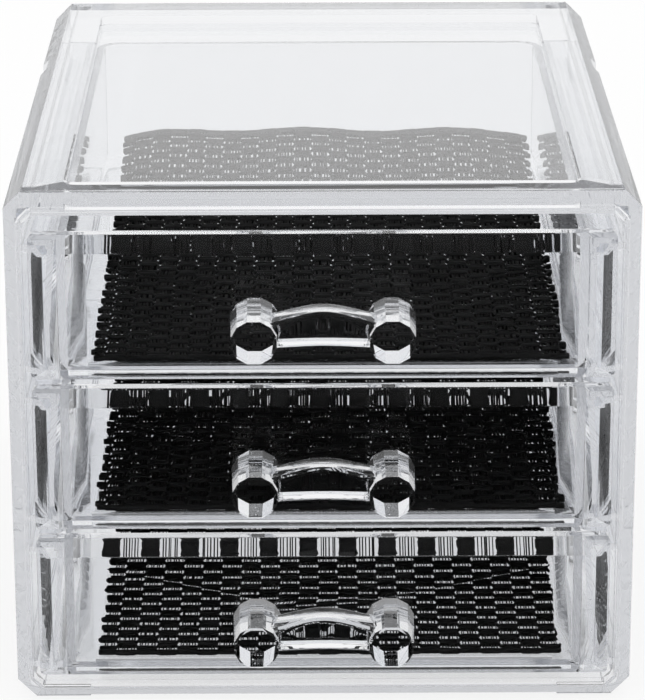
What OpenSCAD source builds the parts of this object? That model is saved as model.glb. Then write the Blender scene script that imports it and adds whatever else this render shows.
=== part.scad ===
// Clear moulded three-drawer organizer for make-up and jewellery.
// X runs to the right, Y from the drawer fronts to the back, Z up. The origin is on the
// surface it stands on, in the middle of the footprint, handles included.
// "Depth" is always measured backwards from the plane of the case's front face.

/* [Case] */
// Outside width of the case
case_w = 130; // [104:1:180]
// Outside depth of the case, without the handles
case_d = 169; // [120:1:230]
// Outside height of the case
case_h = 112; // [92:1:160]
// Size of the cut along the four long corners
corner_cut = 3.9; // [2.5:0.1:5]
// Bevel around the front of the case
front_bevel = 3.3; // [1:0.1:3.3]
// Size of the cut in the corners of the front opening
opening_cut = 2.2; // [1:0.1:3]
// Wall of a side panel
side_t = 3.5; // [2.5:0.1:5]
// Width of a side panel's folded top and bottom edges
side_return = 2.2; // [1.5:0.1:4]
// Thickness of the back panel
back_t = 3.5; // [2.5:0.1:5]
// Thickness of the floor panel
floor_t = 2.8; // [2:0.1:4]
// Thickness of the top panel inside its raised rim
roof_t = 2.5; // [2:0.1:4]
// Thickness of the front frame, front to back
frame_t = 4; // [3.4:0.1:5]
// Height of the corner feet
foot_h = 0.5; // [0.3:0.1:1.5]
// Width of a corner foot
foot_w = 15.4; // [8:0.1:25]

/* [Top recess] */
// Height of the rim above the recess
rim_h = 2; // [1:0.1:4]
// Width of the rim at the two sides
rim_side = 12; // [8:0.5:20]
// Width of the rim at the front
rim_front = 9.1; // [7:0.1:16]
// How much the front rim falls towards the front of the case
rim_fall = 0.6; // [0:0.1:1]
// Width of the rim at the back
rim_back = 13.3; // [7:0.1:25]
// Radius of the recess corners
recess_r = 2.5; // [1:0.1:6]

/* [Side notches] */
// Depth at which the notch in each top side edge starts
notch_at = 113; // [20:1:140]
// Length of the notch
notch_l = 9; // [4:1:15]
// How far the notch cuts into the side
notch_cut = 1.3; // [0.5:0.1:2]
// Height of the notch
notch_h = 3; // [2:0.5:15]

/* [Drawer fronts] */
// Gap above the top drawer front
top_gap = 4.95; // [1:0.05:7]
// Gap under the bottom drawer front
bottom_gap = 1.65; // [0.6:0.05:4]
// Gap between two drawer fronts
front_gap = 2; // [0.8:0.1:4]
// Gap between a drawer front and the opening at each side
front_side_gap = 1.25; // [0.5:0.05:3]
// Thickness of a drawer front
front_t = 6; // [4.5:0.1:8]
// Bevel on the four edges of a drawer front
plate_bevel = 3.15; // [1:0.05:4]
// Radius of a drawer front's four corners
plate_r = 1.2; // [0.4:0.1:3]

/* [Runners] */
// How far a runner stands in from the side panel
runner_w = 6.2; // [4:0.1:9]
// Wall of a runner
runner_t = 1.4; // [1:0.1:2]
// Distance from a drawer front's top edge down to its runner
runner_drop = 3; // [2.6:0.1:6]
// Distance from a drawer front's bottom edge up to its runner
runner_rise = 0.5; // [0.2:0.1:4]
// Gap between a drawer front's back and the runners' ends
runner_stop_gap = 0.3; // [0.2:0.05:1]

/* [Trays] */
// Wall of a tray
tray_t = 1.8; // [1.2:0.1:2.6]
// Radius of a tray's upright corners
tray_r = 6; // [3:0.1:10]
// Thickness of the flanges that slide on the runners
flange_t = 1.6; // [1:0.1:2.2]
// Gap between a flange and the runner under it
flange_lift = 0.25; // [0.15:0.05:0.6]
// Gap between a flange's edge and the side panel
flange_side_gap = 1.5; // [0.5:0.1:3]
// Radius inside a tray, where its walls meet its floor
tray_fillet = 1; // [0.5:0.1:2.5]
// Gap between a tray's side and the runners
tray_side_gap = 0.8; // [0.4:0.1:2]
// Gap between a tray's back and the back panel
tray_back_gap = 1.7; // [0.5:0.1:6]
// Height of a tray's underside above its front's bottom edge
tray_lift = 0.4; // [0:0.1:2]

/* [Handles] */
// Distance between the two posts of a handle
post_span = 27.9; // [22:0.1:40]
// How far a handle stands out
handle_reach = 15; // [11:0.5:22]
// Height of a post's front end across its flats
post_h = 8.9; // [6:0.1:12]
// Extra width of a post over its height
post_extra_w = 0.3; // [0:0.1:1]
// How much larger a post is at the drawer front than at its front end
post_flare = 0.8; // [0:0.1:2]
// Chamfer on a post's front edge
post_chamfer = 0.4; // [0.2:0.1:1]
// Distance from the middle of a drawer front down to its handle
handle_drop = 1.9; // [0:0.1:4]
// Distance from a post's front face back to the bar
bar_inset = 2; // [0.5:0.1:4]
// Front-to-back size of the bar at the posts
bar_end_depth = 8; // [5:0.1:9]
// Front-to-back size of the bar in its middle
bar_mid_depth = 6.8; // [4:0.1:8]
// Height of the bar at the posts
bar_end_h = 5.4; // [3:0.1:6]
// Height of the bar in its middle
bar_mid_h = 7.5; // [4:0.1:8]
// Radius along the bar's long edges
bar_edge_r = 1.4; // [0.4:0.1:1.4]
// Distance from a post's middle down to the bar's lower edge, at the post
bar_end_drop = 2; // [0:0.1:3]
// How far the bar's lower edge rises to its middle
bar_bottom_rise = 0.5; // [0:0.1:2]

/* [Mats] */
// Thickness of a mat
mat_t = 1.2; // [0.8:0.1:2]
// Bare strip between a mat and the tray's fillet at each side
mat_side_gap = 1.7; // [1.7:0.1:8]
// Bare strip between a mat and the tray's fillet at the front
mat_front_gap = 0.5; // [0.5:0.1:5]
// Bare strip between a mat's turned-up end and the tray's fillet at the back
mat_back_gap = 0.5; // [0.5:0.1:3]
// Height of the far end, where it turns up against the tray
mat_turn_h = 4; // [2:0.1:8]
// Gaps in one row of a mat
mat_cols = 6; // [3:1:8]
// Rows of gaps in a mat
mat_rows = 16; // [6:1:18]
// Share of its pitch that a gap takes up across the mat
gap_share_x = 0.5; // [0.3:0.05:0.7]
// Share of its pitch that a gap takes up along the mat
gap_share_y = 0.38; // [0.2:0.02:0.6]
// Depth of the teeth along a mat's cut edges
tooth = 0.9; // [0.2:0.1:2]

/* [Hidden] */

drawers = 3;
bottom = 0;
middle = 1;
top = 2;
left = -1;
right = 1;

// Half the bar's length: its ends lie inside the posts
bar_half = post_span / 2 - post_h / 4;

// Facets of round corners
corner_fn = 64;
// Facets of a tray's round corners and fillets
pan_fn = 40;
// Sides of a handle's post
post_sides = 12;
// Straight lengths that make up the bar's curve
bar_steps = 20;
// Straight lengths that make up each rounded edge of the bar
bar_edge_steps = 3;
// Overrun of a cut past the solid that it cuts
past = 1;
// Thickness of the two slices that a chamfer is stretched between
sliver = 0.01;

front_y = handle_reach - (case_d + handle_reach) / 2;
half_w = case_w / 2;
inner_half_w = half_w - side_t;
panel_half_w = half_w - side_t - side_return;
roof_z = case_h - rim_h - roof_t;
floor_z = foot_h + floor_t;
back_depth = case_d - back_t;

front_half_w = inner_half_w - front_side_gap;
front_h = (roof_z - floor_z - top_gap - bottom_gap - (drawers - 1) * front_gap) / drawers;
pitch = front_h + front_gap;

runner_h = front_h - runner_drop - runner_rise;
runner_from = front_t + runner_stop_gap;

tray_half_w = inner_half_w - runner_w - tray_side_gap;
tray_back = back_depth - tray_back_gap;
tray_inner_r = tray_r - tray_t;
flange_z = front_h - runner_drop + flange_lift;
tray_top = flange_z + flange_t;
tray_floor = tray_lift + tray_t;
flange_half_w = inner_half_w - flange_side_gap;

mat_half_w = tray_half_w - tray_t - tray_fillet - mat_side_gap;
mat_from = front_t + tray_t + tray_fillet + mat_front_gap;
mat_to = tray_back - tray_t - tray_fillet - mat_back_gap;
mat_pitch_x = 2 * mat_half_w / (mat_cols + 0.5);
mat_pitch_y = (mat_to - mat_from) / (mat_rows + 1);

function drawer_z(level) = floor_z + bottom_gap + level * pitch;

// Extrudes an outline drawn in X and Z from one depth to another
module across(from, to) {
    translate([0, front_y + to, 0])
        rotate([90, 0, 0])
            linear_extrude(to - from) children();
}

// Extrudes an outline drawn in X and depth from one height to another
module upright(from, to) {
    translate([0, front_y, from])
        linear_extrude(to - from) children();
}

// A slab from left to right, with its two front edges bevelled
module bevelled_width(half, thick, bevel, height) {
    translate([0, front_y, -height / 2])
        linear_extrude(height)
            polygon([[-half, bevel], [-half + bevel, 0], [half - bevel, 0], [half, bevel],
                     [half, thick], [-half, thick]]);
}

// The same slab, turned so that its bevels are on the top and bottom edges
module bevelled_height(half, thick, bevel, width) {
    rotate([0, 90, 0]) bevelled_width(half, thick, bevel, width);
}

// A rectangle with four round corners, as wide to the left as to the right
module round_rect(half, from, to, r) {
    translate([-half + r, from]) square([2 * (half - r), to - from]);
    translate([-half, from + r]) square([2 * half, to - from - 2 * r]);
    for (x = [-half + r, half - r], y = [from + r, to - r])
        translate([x, y]) circle(r, $fn = corner_fn);
}

// Outside of the case as seen from the front
module case_outline() {
    w = half_w;
    h = case_h;
    c = corner_cut;
    polygon([[-w, c], [-w + c, 0], [w - c, 0], [w, c],
             [w, h - c], [w - c, h], [-w + c, h], [-w, h - c]]);
}

// Front opening of the case
module opening_outline() {
    w = inner_half_w;
    c = opening_cut;
    polygon([[-w, floor_z + c], [-w + c, floor_z], [w - c, floor_z], [w, floor_z + c],
             [w, roof_z - c], [w - c, roof_z], [-w + c, roof_z], [-w, roof_z - c]]);
}

// The case outline, standing only on a foot at each corner
module footed_outline() {
    difference() {
        case_outline();
        translate([-half_w + foot_w, -past]) square([2 * (half_w - foot_w), past + foot_h]);
    }
}

// Bevels all round the front of the case, its cut corners included
module case_bevel() {
    reach = case_w + case_h;
    corner_half = (half_w + case_h / 2 - corner_cut) * sqrt(1 / 2);
    translate([0, 0, case_h / 2]) intersection() {
        bevelled_width(half_w, frame_t, front_bevel, reach);
        bevelled_height(case_h / 2, frame_t, front_bevel, reach);
        rotate([0, 45, 0]) bevelled_width(corner_half, frame_t, front_bevel, reach);
        rotate([0, -45, 0]) bevelled_width(corner_half, frame_t, front_bevel, reach);
    }
}

// Space above the front rim, whose top falls towards the front
module above_rim() {
    translate([-half_w, 0, 0])
        rotate([90, 0, 90])
            linear_extrude(case_w)
                polygon([[front_y - past, case_h - rim_fall], [front_y, case_h - rim_fall],
                         [front_y + rim_front, case_h], [front_y + rim_front, case_h + past],
                         [front_y - past, case_h + past]]);
}

// Bezel around the drawers
module front_frame() {
    color("gainsboro")
        difference() {
            intersection() {
                across(0, frame_t)
                    difference() {
                        footed_outline();
                        opening_outline();
                    }
                case_bevel();
            }
            above_rim();
        }
}

// Side wall with folded top and bottom edges and a notch in its top corner
module side_panel(side) {
    w = half_w;
    c = corner_cut;
    color("whitesmoke")
        difference() {
            scale_x(side)
                across(frame_t, back_depth)
                    polygon([[w, c], [w, case_h - c], [w - c, case_h], [panel_half_w, case_h],
                             [panel_half_w, roof_z], [inner_half_w, roof_z],
                             [inner_half_w, floor_z], [panel_half_w, floor_z],
                             [panel_half_w, foot_h], [w - c + foot_h, foot_h]]);
            scale_x(side)
                translate([w - notch_cut, front_y + notch_at, case_h - c - notch_h])
                    cube([notch_cut + past, notch_l, notch_h + c + past]);
            above_rim();
        }
}

// Mirrors what is drawn for the right side when the left side is wanted
module scale_x(side) {
    if (side == left) mirror([1, 0, 0]) children();
    else children();
}

// Roof with a raised rim round a shallow recess
module top_panel() {
    color("whitesmoke")
        difference() {
            upright(roof_z, case_h)
                translate([-panel_half_w, frame_t])
                    square([2 * panel_half_w, back_depth - frame_t]);
            upright(case_h - rim_h, case_h + past)
                round_rect(half_w - rim_side, rim_front, case_d - rim_back, recess_r);
            above_rim();
        }
}

module bottom_panel() {
    color("whitesmoke")
        upright(foot_h, floor_z)
            translate([-panel_half_w, frame_t])
                square([2 * panel_half_w, back_depth - frame_t]);
}

module back_panel() {
    color("gainsboro") across(back_depth, case_d) footed_outline();
}

// Channel that carries one edge of a tray, its open side against the side panel
module runner(side, level) {
    in = inner_half_w - runner_w;
    out = inner_half_w;
    color("lightsteelblue")
        scale_x(side)
            translate([0, 0, drawer_z(level) + runner_rise])
                across(runner_from, back_depth)
                    polygon([[out, 0], [in, 0], [in, runner_h], [out, runner_h],
                             [out, runner_h - runner_t], [in + runner_t, runner_h - runner_t],
                             [in + runner_t, runner_t], [out, runner_t]]);
}

// Thick front with four round corners and a bevel on all its edges
module drawer_front(level) {
    color("aliceblue")
        translate([0, 0, drawer_z(level) + front_h / 2])
            intersection() {
                bevelled_width(front_half_w, front_t, plate_bevel, front_h);
                bevelled_height(front_h / 2, front_t, plate_bevel, 2 * front_half_w);
                across(0, front_t) round_rect(front_half_w, -front_h / 2, front_h / 2, plate_r);
            }
}

// Block with round upright corners and a fillet round its lower edge
module pan(half, from, to, r, low, high, fillet) {
    hull()
        for (x = [-half + r, half - r], y = [from + r, to - r]) translate([x, front_y + y, 0]) {
            translate([0, 0, low + fillet])
                rotate_extrude($fn = pan_fn)
                    intersection() {
                        translate([r - fillet, 0]) circle(fillet, $fn = pan_fn);
                        translate([0, -fillet]) square([r, fillet]);
                    }
            translate([0, 0, low + fillet]) cylinder(high - low - fillet, r = r, $fn = pan_fn);
        }
}

// Open box with round upright corners and a sliding flange along each side
module tray(level) {
    color("azure")
        translate([0, 0, drawer_z(level)]) {
            difference() {
                union() {
                    pan(tray_half_w, front_t, tray_back, tray_r, tray_lift, tray_top,
                        tray_fillet + tray_t);
                    upright(flange_z, tray_top)
                        translate([-flange_half_w, front_t])
                            square([2 * flange_half_w, tray_back - tray_r - front_t]);
                }
                pan(tray_half_w - tray_t, front_t + tray_t, tray_back - tray_t, tray_inner_r,
                    tray_floor, tray_top + past, tray_fillet);
            }
        }
}

// Twelve-sided outline of a post, a little wider than it is high
function post_points(height) = [
    for (i = [0 : post_sides - 1])
        let (a = (i + 0.5) * 360 / post_sides, r = height / 2 / cos(180 / post_sides))
            [r * cos(a) + sign(cos(a)) * post_extra_w / 2, r * sin(a)]
];

// Post that narrows from the drawer front to its own chamfered front end
module post() {
    base_h = post_h + post_flare;
    chamfer_y = -handle_reach + post_chamfer;
    hull() {
        across(-sliver, 0) polygon(post_points(base_h));
        across(chamfer_y, chamfer_y + sliver) polygon(post_points(post_h));
    }
    hull() {
        across(chamfer_y, chamfer_y + sliver) polygon(post_points(post_h));
        across(-handle_reach, -handle_reach + sliver)
            polygon(post_points(post_h - 2 * post_chamfer));
    }
}

// Rise of the bar from a post, at 1, to its middle, at 0
function bow(u) = let (c = cos(90 * u)) c * (1 + c) / 2;

// Value between one at the posts and one in the middle of the bar
function blend(u, at_post, at_middle) = at_post + (at_middle - at_post) * bow(u);

// One cross-section of the bar at u, from -1 at the left post to 1 at the right post
function bar_ring(u) =
    let (face = -handle_reach + bar_inset,
         depth = blend(u, bar_end_depth, bar_mid_depth),
         low = blend(u, -bar_end_drop, bar_bottom_rise - bar_end_drop),
         high = low + blend(u, bar_end_h, bar_mid_h),
         r = bar_edge_r,
         middles = [[face + depth - r, high - r], [face + r, high - r],
                    [face + r, low + r], [face + depth - r, low + r]])
    [for (corner = [0 : 3], step = [0 : bar_edge_steps])
        let (a = 90 * (corner + step / bar_edge_steps))
            [u * bar_half, front_y + middles[corner][0] + r * cos(a),
             middles[corner][1] + r * sin(a)]];

// Bar between the posts: bowed upwards, and slimmer in its middle as seen from above
module bar() {
    ring_n = 4 * (bar_edge_steps + 1);
    points = [for (i = [0 : bar_steps]) each bar_ring(2 * i / bar_steps - 1)];
    sides = [for (i = [0 : bar_steps - 1], k = [0 : ring_n - 1])
        let (a = i * ring_n, next = (k + 1) % ring_n)
            [a + k, a + ring_n + k, a + ring_n + next, a + next]];
    polyhedron(points, concat([[for (k = [0 : ring_n - 1]) k]], sides,
                              [[for (k = [ring_n - 1 : -1 : 0]) bar_steps * ring_n + k]]));
}

module handle(level) {
    color("lavender")
        translate([0, 0, drawer_z(level) + front_h / 2 - handle_drop]) {
            for (x = [-post_span / 2, post_span / 2]) translate([x, 0, 0]) post();
            bar();
        }
}

// Cut edge of a mat: a zigzag with two teeth to each row of gaps
function mat_edge(side, order) = [
    for (i = order)
        [side * (mat_half_w - (i % 2) * tooth), mat_from + i * (mat_to - mat_from) / (2 * mat_rows + 2)]
];

// Lens-shaped gap between two wavy strands
module mat_gap() {
    a = mat_pitch_x * gap_share_x / 2;
    b = mat_pitch_y * gap_share_y / 2;
    polygon([[-a, 0], [-a / 2, -b], [a / 2, -b], [a, 0], [a / 2, b], [-a / 2, b]]);
}

// Non-slip net that lies on a tray's floor, its far end turned up against the back
module mat(level) {
    last = 2 * mat_rows + 2;
    color([0.08, 0.08, 0.08])
        translate([0, 0, drawer_z(level) + tray_floor]) {
            upright(0, mat_t)
                difference() {
                    polygon(concat(mat_edge(left, [0 : last]), mat_edge(right, [last : -1 : 0])));
                    for (row = [1 : mat_rows], col = [0 : mat_cols - 1])
                        translate([-mat_half_w + (col + 0.5 + 0.5 * (row % 2)) * mat_pitch_x,
                                   mat_from + row * mat_pitch_y])
                            mat_gap();
                }
            upright(0, mat_turn_h)
                translate([-mat_half_w + tray_inner_r, mat_to - mat_t])
                    square([2 * (mat_half_w - tray_inner_r), mat_t]);
        }
}

front_frame();
side_panel(left);  // left_side
side_panel(right);  // right_side
top_panel();
bottom_panel();
back_panel();
runner(left, top);  // top_left_runner
runner(left, middle);  // middle_left_runner
runner(left, bottom);  // bottom_left_runner
runner(right, top);  // top_right_runner
runner(right, middle);  // middle_right_runner
runner(right, bottom);  // bottom_right_runner
drawer_front(top);  // top_front
handle(top);  // top_handle
tray(top);  // top_tray
mat(top);  // top_mat
drawer_front(middle);  // middle_front
handle(middle);  // middle_handle
tray(middle);  // middle_tray
mat(middle);  // middle_mat
drawer_front(bottom);  // bottom_front
handle(bottom);  // bottom_handle
tray(bottom);  // bottom_tray
mat(bottom);  // bottom_mat
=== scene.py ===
import math
import random

import bmesh
import bpy
from mathutils import Matrix, Vector


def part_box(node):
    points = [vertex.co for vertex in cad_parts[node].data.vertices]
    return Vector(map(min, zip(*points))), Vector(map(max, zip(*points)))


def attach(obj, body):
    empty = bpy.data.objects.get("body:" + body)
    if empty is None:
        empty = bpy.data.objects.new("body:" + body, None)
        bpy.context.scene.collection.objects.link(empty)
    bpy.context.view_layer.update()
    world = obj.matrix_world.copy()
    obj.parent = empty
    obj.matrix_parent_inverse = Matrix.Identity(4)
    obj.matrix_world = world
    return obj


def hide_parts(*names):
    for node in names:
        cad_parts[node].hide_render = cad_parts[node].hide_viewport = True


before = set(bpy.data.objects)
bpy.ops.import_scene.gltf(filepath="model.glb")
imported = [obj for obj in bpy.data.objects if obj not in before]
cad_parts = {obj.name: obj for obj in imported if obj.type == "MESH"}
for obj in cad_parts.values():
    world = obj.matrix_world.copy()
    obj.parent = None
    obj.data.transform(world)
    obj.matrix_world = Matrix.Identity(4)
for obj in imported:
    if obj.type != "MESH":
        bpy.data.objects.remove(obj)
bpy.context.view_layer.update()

MM = 0.001
LEVELS = ("top", "middle", "bottom")

# ---------------------------------------------------------------- camera

CAMERA_PLACE = Vector((-3.3, -754.7, 309.2)) * MM
CAMERA_PITCH = math.radians(18.79)  # downwards
CAMERA_YAW = math.radians(0.27)
CAMERA_ROLL = math.radians(-0.15)
FOCAL_LENGTH_PX = 3493.3
PICTURE_HEIGHT_PX = 700
SENSOR = 36.0


def add_camera():
    data = bpy.data.cameras.new("camera")
    data.sensor_fit = "VERTICAL"
    data.sensor_height = SENSOR
    data.lens = FOCAL_LENGTH_PX / PICTURE_HEIGHT_PX * SENSOR
    data.clip_start = 0.01
    data.clip_end = 50
    forward = Vector(
        (
            math.sin(CAMERA_YAW) * math.cos(CAMERA_PITCH),
            math.cos(CAMERA_YAW) * math.cos(CAMERA_PITCH),
            -math.sin(CAMERA_PITCH),
        )
    )
    level = Vector((math.cos(CAMERA_YAW), -math.sin(CAMERA_YAW), 0))
    upward = level.cross(forward)
    right = level * math.cos(CAMERA_ROLL) + upward * math.sin(CAMERA_ROLL)
    up = right.cross(forward)
    turn = Matrix((right, up, -forward)).transposed()
    camera = bpy.data.objects.new("camera", data)
    camera.matrix_world = Matrix.Translation(CAMERA_PLACE) @ turn.to_4x4()
    bpy.context.scene.collection.objects.link(camera)
    bpy.context.scene.camera = camera


# ---------------------------------------------------------------- mesh tools


def new_object(name, bm):
    mesh = bpy.data.meshes.new(name)
    bm.to_mesh(mesh)
    bm.free()
    obj = bpy.data.objects.new(name, mesh)
    bpy.context.scene.collection.objects.link(obj)
    return obj


GRID = 0.001 * MM  # corners lie on this grid, so that bonded faces meet exactly


CROWN_RISE = 0.075 * MM
CROWN_STRIPS = 8


def crown_top_bevel(bm):
    """Gives a plate's upper bevel the slight crown that polishing leaves on it."""
    bm.normal_update()
    bevel = max(bm.faces, key=lambda f: f.calc_area() if f.normal.y < -0.3 and f.normal.z > 0.3 else 0)
    outward = bevel.normal.copy()
    across = outward.cross(Vector((1, 0, 0)))
    places = [v.co.dot(across) for v in bevel.verts]
    low, high = min(places), max(places)
    strips = [bevel]
    for i in range(1, CROWN_STRIPS):
        corners = {v for f in strips for v in f.verts}
        edges = {e for f in strips for e in f.edges}
        made = bmesh.ops.bisect_plane(
            bm, geom=strips + list(edges) + list(corners), dist=0.001 * MM,
            plane_co=across * (low + (high - low) * i / CROWN_STRIPS), plane_no=across,
        )
        strips = [f for f in made["geom"] if isinstance(f, bmesh.types.BMFace)]
    for vert in {v for f in strips for v in f.verts}:
        t = (vert.co.dot(across) - low) / (high - low)
        vert.co += outward * (CROWN_RISE * 4 * t * (1 - t))


def node_copy(node, rounding):
    """A welded copy of a CAD node, its sharp edges rounded by so much."""
    bm = bmesh.new()
    bm.from_mesh(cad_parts[node].data)
    bmesh.ops.remove_doubles(bm, verts=bm.verts, dist=0.002 * MM)
    bmesh.ops.dissolve_limit(bm, angle_limit=math.radians(0.6), verts=bm.verts, edges=bm.edges)
    if node.endswith("_front"):
        crown_top_bevel(bm)
    sharp = [e for e in bm.edges if len(e.link_faces) == 2 and e.calc_face_angle() > math.radians(25)]
    if rounding:
        bmesh.ops.bevel(
            bm, geom=sharp, offset=rounding, offset_type="OFFSET", segments=2, profile=0.5,
            affect="EDGES", clamp_overlap=True,
        )
    bmesh.ops.triangulate(bm, faces=bm.faces)
    for vert in bm.verts:
        vert.co = [round(c / GRID) * GRID for c in vert.co]
    bmesh.ops.recalc_face_normals(bm, faces=bm.faces)
    return new_object(node + "_copy", bm)


def block(low, high):
    """A plain box, for use in fuse()."""
    bm = bmesh.new()
    bmesh.ops.create_cube(bm, size=1)
    for vert in bm.verts:
        vert.co = [round((l if c < 0 else h) / GRID) * GRID for c, l, h in zip(vert.co, low, high)]
    return new_object("block", bm)


def fuse(name, copies, cuts):
    """One closed mesh of several bonded pieces, less the cuts."""
    base = copies[0]
    others = [(other, "UNION") for other in copies[1:]] + [(cut, "DIFFERENCE") for cut in cuts]
    for other, operation in others:
        step = base.modifiers.new("join", "BOOLEAN")
        step.operation = operation
        step.solver = "MANIFOLD"
        step.object = other
    depsgraph = bpy.context.evaluated_depsgraph_get()
    mesh = bpy.data.meshes.new_from_object(base.evaluated_get(depsgraph))
    mesh.name = name
    mesh.materials.clear()
    for copy in copies + cuts:
        bpy.data.objects.remove(copy)
    obj = bpy.data.objects.new(name, mesh)
    bpy.context.scene.collection.objects.link(obj)
    bm = bmesh.new()
    bm.from_mesh(mesh)
    bmesh.ops.remove_doubles(bm, verts=bm.verts, dist=0.002 * MM)
    bmesh.ops.dissolve_limit(bm, angle_limit=math.radians(0.3), verts=bm.verts, edges=bm.edges)
    bmesh.ops.triangulate(bm, faces=[f for f in bm.faces if len(f.verts) > 4])
    bad = [e for e in bm.edges if not e.is_manifold]
    print(name, "faces", len(bm.faces), "open edges", len(bad))
    bm.to_mesh(mesh)
    bm.free()
    mesh.shade_smooth()
    mesh.set_sharp_from_angle(angle=math.radians(30))
    normals = obj.modifiers.new("flat faces stay flat", "WEIGHTED_NORMAL")
    normals.weight = 100
    normals.keep_sharp = True
    return obj


# ---------------------------------------------------------------- materials


def new_material(name):
    mat = bpy.data.materials.new(name)
    mat.use_nodes = True
    nodes = mat.node_tree.nodes
    return mat, nodes, mat.node_tree.links, nodes["Principled BSDF"]


def clear_plastic(name, tint, roughness, wave):
    mat, nodes, links, shader = new_material(name)
    shader.inputs["Base Color"].default_value = (*tint, 1)
    shader.inputs["Transmission Weight"].default_value = 1
    shader.inputs["IOR"].default_value = 1.49
    shader.inputs["Specular Tint"].default_value = (0.15, 0.15, 0.15, 1)
    coords = nodes.new("ShaderNodeTexCoord")
    noise = nodes.new("ShaderNodeTexNoise")
    noise.inputs["Scale"].default_value = 60
    links.new(coords.outputs["Object"], noise.inputs["Vector"])
    ramp = nodes.new("ShaderNodeMapRange")
    ramp.inputs["To Min"].default_value = roughness
    ramp.inputs["To Max"].default_value = roughness * 2
    links.new(noise.outputs["Fac"], ramp.inputs["Value"])
    links.new(ramp.outputs["Result"], shader.inputs["Roughness"])
    bump = nodes.new("ShaderNodeBump")
    bump.inputs["Strength"].default_value = wave
    bump.inputs["Distance"].default_value = 0.05 * MM
    links.new(noise.outputs["Fac"], bump.inputs["Height"])
    links.new(bump.outputs["Normal"], shader.inputs["Normal"])
    depth = nodes.new("ShaderNodeVolumeAbsorption")
    depth.inputs["Color"].default_value = (0, 0.03, 0.1, 1)
    depth.inputs["Density"].default_value = 2
    links.new(depth.outputs["Volume"], nodes["Material Output"].inputs["Volume"])
    return mat


def black_foam():
    mat, nodes, links, shader = new_material("black_foam")
    shader.inputs["Roughness"].default_value = 0.85
    shader.inputs["Specular IOR Level"].default_value = 0.12
    coords = nodes.new("ShaderNodeTexCoord")
    noise = nodes.new("ShaderNodeTexNoise")
    noise.inputs["Scale"].default_value = 2500
    noise.inputs["Detail"].default_value = 3
    links.new(coords.outputs["Object"], noise.inputs["Vector"])
    ramp = nodes.new("ShaderNodeValToRGB")
    ramp.color_ramp.elements[0].color = (0.014, 0.014, 0.014, 1)
    ramp.color_ramp.elements[1].color = (0.026, 0.026, 0.0265, 1)
    links.new(noise.outputs["Fac"], ramp.inputs["Fac"])
    links.new(ramp.outputs["Color"], shader.inputs["Base Color"])
    bump = nodes.new("ShaderNodeBump")
    bump.inputs["Strength"].default_value = 0.4
    bump.inputs["Distance"].default_value = 0.1 * MM
    links.new(noise.outputs["Fac"], bump.inputs["Height"])
    links.new(bump.outputs["Normal"], shader.inputs["Normal"])
    return mat


# ---------------------------------------------------------------- pieces


CASE_NODES = ["front_frame", "left_side", "right_side", "top_panel", "bottom_panel", "back_panel"] + [
    f"{level}_{side}_runner" for side in ("left", "right") for level in LEVELS
]
CASE_EDGE = 0.08 * MM
DRAWER_EDGE = 0.15 * MM


RUNNER_WALL = 1.4 * MM
WEB_CUT = 6.2 * MM  # how far a runner's upright wall is cut back at the front
WEB_EDGE = 0.8 * MM  # what the cut leaves next to the runner's top and bottom
TRAY_HALF_W = 54.5 * MM
TRAY_WALL = 1.8 * MM
TRAY_CORNER = 6 * MM
SLACK = 0.2 * MM


def runner_cut(side, level):
    """The space in front of a runner's upright wall, which leaves its top and bottom whole."""
    low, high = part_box(f"{level}_{side}_runner")
    inner = low[0] if side == "right" else high[0] - RUNNER_WALL
    keep = RUNNER_WALL + WEB_EDGE
    return block(
        (inner - SLACK, low[1] - SLACK, low[2] + keep),
        (inner + RUNNER_WALL + SLACK, low[1] + WEB_CUT, high[2] - keep),
    )


def case_shell(mat):
    cuts = [runner_cut(side, level) for side in ("left", "right") for level in LEVELS]
    shell = fuse("case_shell", [node_copy(n, CASE_EDGE) for n in CASE_NODES], cuts)
    shell.data.materials.append(mat)
    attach(shell, "case")
    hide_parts(*CASE_NODES)


def tray_corners(level):
    """Square outsides for a tray's two front corners, and the spaces that square their insides."""
    low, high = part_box(f"{level}_tray")
    outsides = []
    insides = []
    for side in (-1, 1):
        ends = sorted((side * TRAY_HALF_W, side * (TRAY_HALF_W - TRAY_CORNER)))
        outsides.append(block((ends[0], low[1], low[2]), (ends[1], low[1] + TRAY_CORNER, high[2])))
        ends = sorted((side * (TRAY_HALF_W - TRAY_WALL), side * (TRAY_HALF_W - TRAY_CORNER)))
        insides.append(
            block(
                (ends[0], low[1] + TRAY_WALL, low[2] + TRAY_WALL),
                (ends[1], low[1] + TRAY_CORNER, high[2] + SLACK),
            )
        )
    return outsides, insides


def drawer_shell(level, mat):
    parts = [f"{level}_{part}" for part in ("front", "tray", "handle")]
    outsides, insides = tray_corners(level)
    shell = fuse(f"{level}_drawer_shell", [node_copy(n, DRAWER_EDGE) for n in parts] + outsides, insides)
    shell.data.materials.append(mat)
    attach(shell, f"{level}_drawer")
    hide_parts(*parts)


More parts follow.
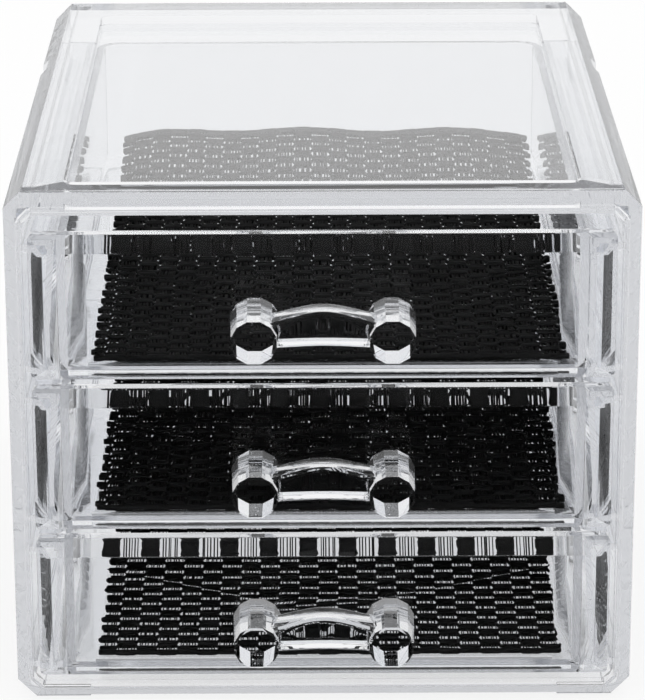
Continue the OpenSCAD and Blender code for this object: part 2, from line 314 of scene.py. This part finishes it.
STRAND_PITCH = 2.8 * MM
WAVE_LENGTH = 8.65 * MM
WAVE = 0.82 * MM
WAVE_SQUARENESS = 6
STRAND_HALF_W = 0.6 * MM
STRAND_HALF_H = 0.66 * MM
STRAND_POINTS = 24  # in each wave
STRAND_SIDES = 8
RISE = 5.5 * MM  # of the far end above the floor
RISE_LENGTH = 44 * MM  # of the stretch that rises
EDGE_WAVES = 34.7 * MM  # from one wave of the far edge to the next
EDGE_CREST = -38 * MM  # where one of them is highest
EDGE_WAVE = 0.45 * MM
NET_ASIDE = 1.6 * MM  # the nets lie this far to the right of the trays' middle
THREAD_HALF_W = 0.14 * MM
THREAD_HALF_H = 0.09 * MM
THREAD_SIDES = 5
CROSS_THREADS = (-1.6, -0.95, -0.3, 0.3, 0.95, 1.6)  # places in a gap, in millimetres from its middle
FULLER = 1.7  # the upper two nets' threads are fuller, but for their last rows
OPEN_ROWS = 3
GAP_SHIFT = {"top": 2.0 * MM, "middle": 7.1 * MM, "bottom": 5.35 * MM}  # along X, of the net's gaps


def tube(bm, path, half_w, half_h, sides):
    """Adds a closed tube along points with a direction each, half_w wide and half_h high."""
    before = None
    for place, side, upward, swell in path:
        ring = []
        for k in range(sides):
            t = 2 * math.pi * (k + 0.5) / sides
            ring.append(
                bm.verts.new(place + side * (half_w * swell * math.cos(t)) + upward * (half_h * swell * math.sin(t)))
            )
        if before:
            for k in range(sides):
                n = (k + 1) % sides
                bm.faces.new((before[k], before[n], ring[n], ring[k]))
        else:
            bm.faces.new(ring)
        before = ring
    bm.faces.new(before[::-1])


def mat_net(level, material):
    """A net of wavy strands that meet and part, with thin threads across the gaps.

    It lies in its tray, and its far end turns up against the tray's back.
    """
    low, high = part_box(f"{level}_mat")
    rng = random.Random(level)
    bm = bmesh.new()
    z0 = low[2] + STRAND_HALF_H + 0.1 * MM
    covered = high[1] - low[1] - 2 * STRAND_HALF_H
    mat_length = covered + 0.6 * RISE**2 / RISE_LENGTH
    shift = GAP_SHIFT[level]
    left, right = low[0] + NET_ASIDE, high[0] + NET_ASIDE
    rows = int((mat_length - 2 * STRAND_HALF_W) / STRAND_PITCH)

    def spot(x, along):
        """Where the mat's middle surface is at x, so far from its near edge, and how it lies."""
        ripple = 0.12 * MM * (1 + math.sin(x * 90 + along * 40) * math.sin(along * 75))
        t = min(max((along - mat_length + RISE_LENGTH) / RISE_LENGTH, 0), 1)
        top = RISE * (1 - 0.3 * math.exp(-min(x - left, right - x) / (6 * MM)))
        top += EDGE_WAVE * math.cos(2 * math.pi * (x - EDGE_CREST) / EDGE_WAVES)
        slope = top / RISE_LENGTH * 6 * t * (1 - t)
        lengthways = Vector((0, 1, slope)).normalized()
        upward = Vector((0, -slope, 1)).normalized()
        y = low[1] + STRAND_HALF_H + along * covered / mat_length
        return Vector((x, y, z0 + top * t * t * (3 - 2 * t) + ripple)), lengthways, upward

    def strand_at(row, x):
        """The strand's place along the mat: nearly a square wave, so the gaps are almost square."""
        turn = 2 * math.pi * (x + shift) / WAVE_LENGTH + math.pi * (row % 2)
        straight = 0.2 if row in (0, rows) else 1  # the mat's own edges are almost straight
        wave = straight * WAVE * math.tanh(WAVE_SQUARENESS * math.sin(turn))
        return STRAND_HALF_W + row * STRAND_PITCH + wave

    def strand_ring(row, x, swell):
        """Place, directions and swell of one ring, square to the strand where it crosses over."""
        step = 0.01 * MM
        slope = (strand_at(row, x + step) - strand_at(row, x - step)) / (2 * step)
        place, lengthways, upward = spot(x, strand_at(row, x))
        side = (lengthways - slope * Vector((1, 0, 0))).normalized()
        return place, side, upward, swell / (1 + 0.3 * abs(slope))

    for row in range(rows + 1):
        x0 = left + rng.uniform(0, 0.9) * MM
        x1 = right - rng.uniform(0, 0.9) * MM
        count = int((x1 - x0) / (WAVE_LENGTH / STRAND_POINTS))
        path = []
        for i in range(count + 1):
            swell = 0.8 if i in (0, count) else rng.uniform(0.97, 1.03)
            path.append(strand_ring(row, x0 + (x1 - x0) * i / count, swell))
        tube(bm, path, STRAND_HALF_W, STRAND_HALF_H, STRAND_SIDES)
    near_edge, far_edge = left + 1.2 * MM, right - 1.2 * MM
    crossways = Vector((1, 0, 0))
    for row in range(rows):
        fullness = 1 if level == "bottom" or row > rows - OPEN_ROWS else FULLER
        quarter = 0.75 if row % 2 == 0 else 0.25
        first = math.ceil((left + shift) / WAVE_LENGTH - quarter)
        last = math.floor((right + shift) / WAVE_LENGTH - quarter)
        for gap in range(first, last + 1):
            middle = (gap + quarter) * WAVE_LENGTH - shift
            for thread in CROSS_THREADS:
                x = middle + (thread + rng.uniform(-0.2, 0.2)) * MM
                if near_edge < x < far_edge:
                    path = []
                    for end in (row, row + 1):
                        place, lengthways, upward = spot(x, strand_at(end, x))
                        path.append((place, crossways, upward, rng.uniform(0.8, 1.5) * fullness))
                    tube(bm, path, THREAD_HALF_W, THREAD_HALF_H, THREAD_SIDES)
    bmesh.ops.recalc_face_normals(bm, faces=bm.faces)
    net = new_object(f"{level}_net", bm)
    net.data.shade_smooth()
    net.data.materials.append(material)
    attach(net, f"{level}_drawer")
    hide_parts(f"{level}_mat")


# ---------------------------------------------------------------- stage and light


LIGHT_BOUNCES = 128  # light runs far inside the clear roof, from wall to wall


def mirrored_once(nodes, links):
    """1 for what is seen by a single reflection, such as in the face of a drawer front."""
    path = nodes.new("ShaderNodeLightPath")
    once = nodes.new("ShaderNodeMath")
    once.operation = "COMPARE"
    once.inputs[1].default_value = 1
    once.inputs[2].default_value = 0.5
    links.new(path.outputs["Glossy Depth"], once.inputs[0])
    return once.outputs[0]


def stage():
    bpy.ops.mesh.primitive_plane_add(size=8, location=(0, 0, 0))
    floor = bpy.context.object
    floor.name = "floor"
    mat, nodes, links, shader = new_material("floor_white")
    shader.inputs["Base Color"].default_value = (0.95, 0.95, 0.95, 1)
    shader.inputs["Roughness"].default_value = 1
    shader.inputs["Specular IOR Level"].default_value = 0
    out = nodes["Material Output"]
    path = nodes.new("ShaderNodeLightPath")
    place = nodes.new("ShaderNodeNewGeometry")
    split = nodes.new("ShaderNodeSeparateXYZ")
    links.new(place.outputs["Position"], split.inputs[0])
    # Painted reflection: in front of the case, the floor turns near-black only where a single reflection sees it, so
    # the drawer fronts mirror a dark surround. Camera rays still see it white.
    front = nodes.new("ShaderNodeMapRange")
    front.inputs["From Min"].default_value = -0.02
    front.inputs["From Max"].default_value = -0.12
    links.new(split.outputs["Y"], front.inputs["Value"])
    painted_reflection_fac = nodes.new("ShaderNodeMath")
    painted_reflection_fac.operation = "MULTIPLY"
    links.new(front.outputs["Result"], painted_reflection_fac.inputs[0])
    links.new(mirrored_once(nodes, links), painted_reflection_fac.inputs[1])
    glow = nodes.new("ShaderNodeEmission")
    glow.inputs["Strength"].default_value = 1.0
    pale = nodes.new("ShaderNodeMixShader")
    looked_at = nodes.new("ShaderNodeMath")
    looked_at.operation = "MAXIMUM"
    links.new(path.outputs["Is Camera Ray"], looked_at.inputs[0])
    links.new(path.outputs["Is Transmission Ray"], looked_at.inputs[1])
    seen = nodes.new("ShaderNodeMath")
    seen.operation = "MULTIPLY"
    seen.inputs[1].default_value = 0.85
    links.new(looked_at.outputs[0], seen.inputs[0])
    links.new(seen.outputs[0], pale.inputs["Fac"])
    links.new(shader.outputs[0], pale.inputs[1])
    links.new(glow.outputs[0], pale.inputs[2])
    # The near-black floor colour of the painted reflection
    painted_dark_floor = nodes.new("ShaderNodeBsdfDiffuse")
    painted_dark_floor.inputs["Color"].default_value = (0.06, 0.06, 0.06, 1)
    mix = nodes.new("ShaderNodeMixShader")
    links.new(painted_reflection_fac.outputs[0], mix.inputs["Fac"])
    links.new(pale.outputs[0], mix.inputs[1])
    links.new(painted_dark_floor.outputs[0], mix.inputs[2])
    links.new(mix.outputs[0], out.inputs["Surface"])
    floor.data.materials.append(mat)


def light():
    world = bpy.data.worlds.new("studio")
    bpy.context.scene.world = world
    world.use_nodes = True
    nodes, links = world.node_tree.nodes, world.node_tree.links
    back = nodes["Background"]
    coords = nodes.new("ShaderNodeTexCoord")
    split = nodes.new("ShaderNodeSeparateXYZ")
    links.new(coords.outputs["Generated"], split.inputs[0])
    ramp = nodes.new("ShaderNodeMapRange")
    ramp.inputs["From Min"].default_value = -0.75
    ramp.inputs["From Max"].default_value = -0.1
    ramp.inputs["To Min"].default_value = 0.08
    ramp.inputs["To Max"].default_value = 1.0
    links.new(split.outputs["Y"], ramp.inputs["Value"])
    mix = nodes.new("ShaderNodeMix")
    mix.data_type = "FLOAT"
    mix.inputs[2].default_value = 1.0
    links.new(mirrored_once(nodes, links), mix.inputs[0])
    links.new(ramp.outputs["Result"], mix.inputs[3])
    links.new(mix.outputs[0], back.inputs["Strength"])
    back.inputs["Color"].default_value = (1, 1, 1, 1)
    scene = bpy.context.scene
    scene.view_settings.view_transform = "Standard"
    scene.cycles.max_bounces = LIGHT_BOUNCES
    scene.cycles.transmission_bounces = LIGHT_BOUNCES
    scene.cycles.glossy_bounces = LIGHT_BOUNCES
    scene.cycles.diffuse_bounces = 4


add_camera()
plastic = clear_plastic("clear_plastic", (0.93, 0.935, 0.945), 0.0, 0.02)
foam = black_foam()
case_shell(plastic)
for level in LEVELS:
    drawer_shell(level, plastic)
    mat_net(level, foam)
stage()
light()
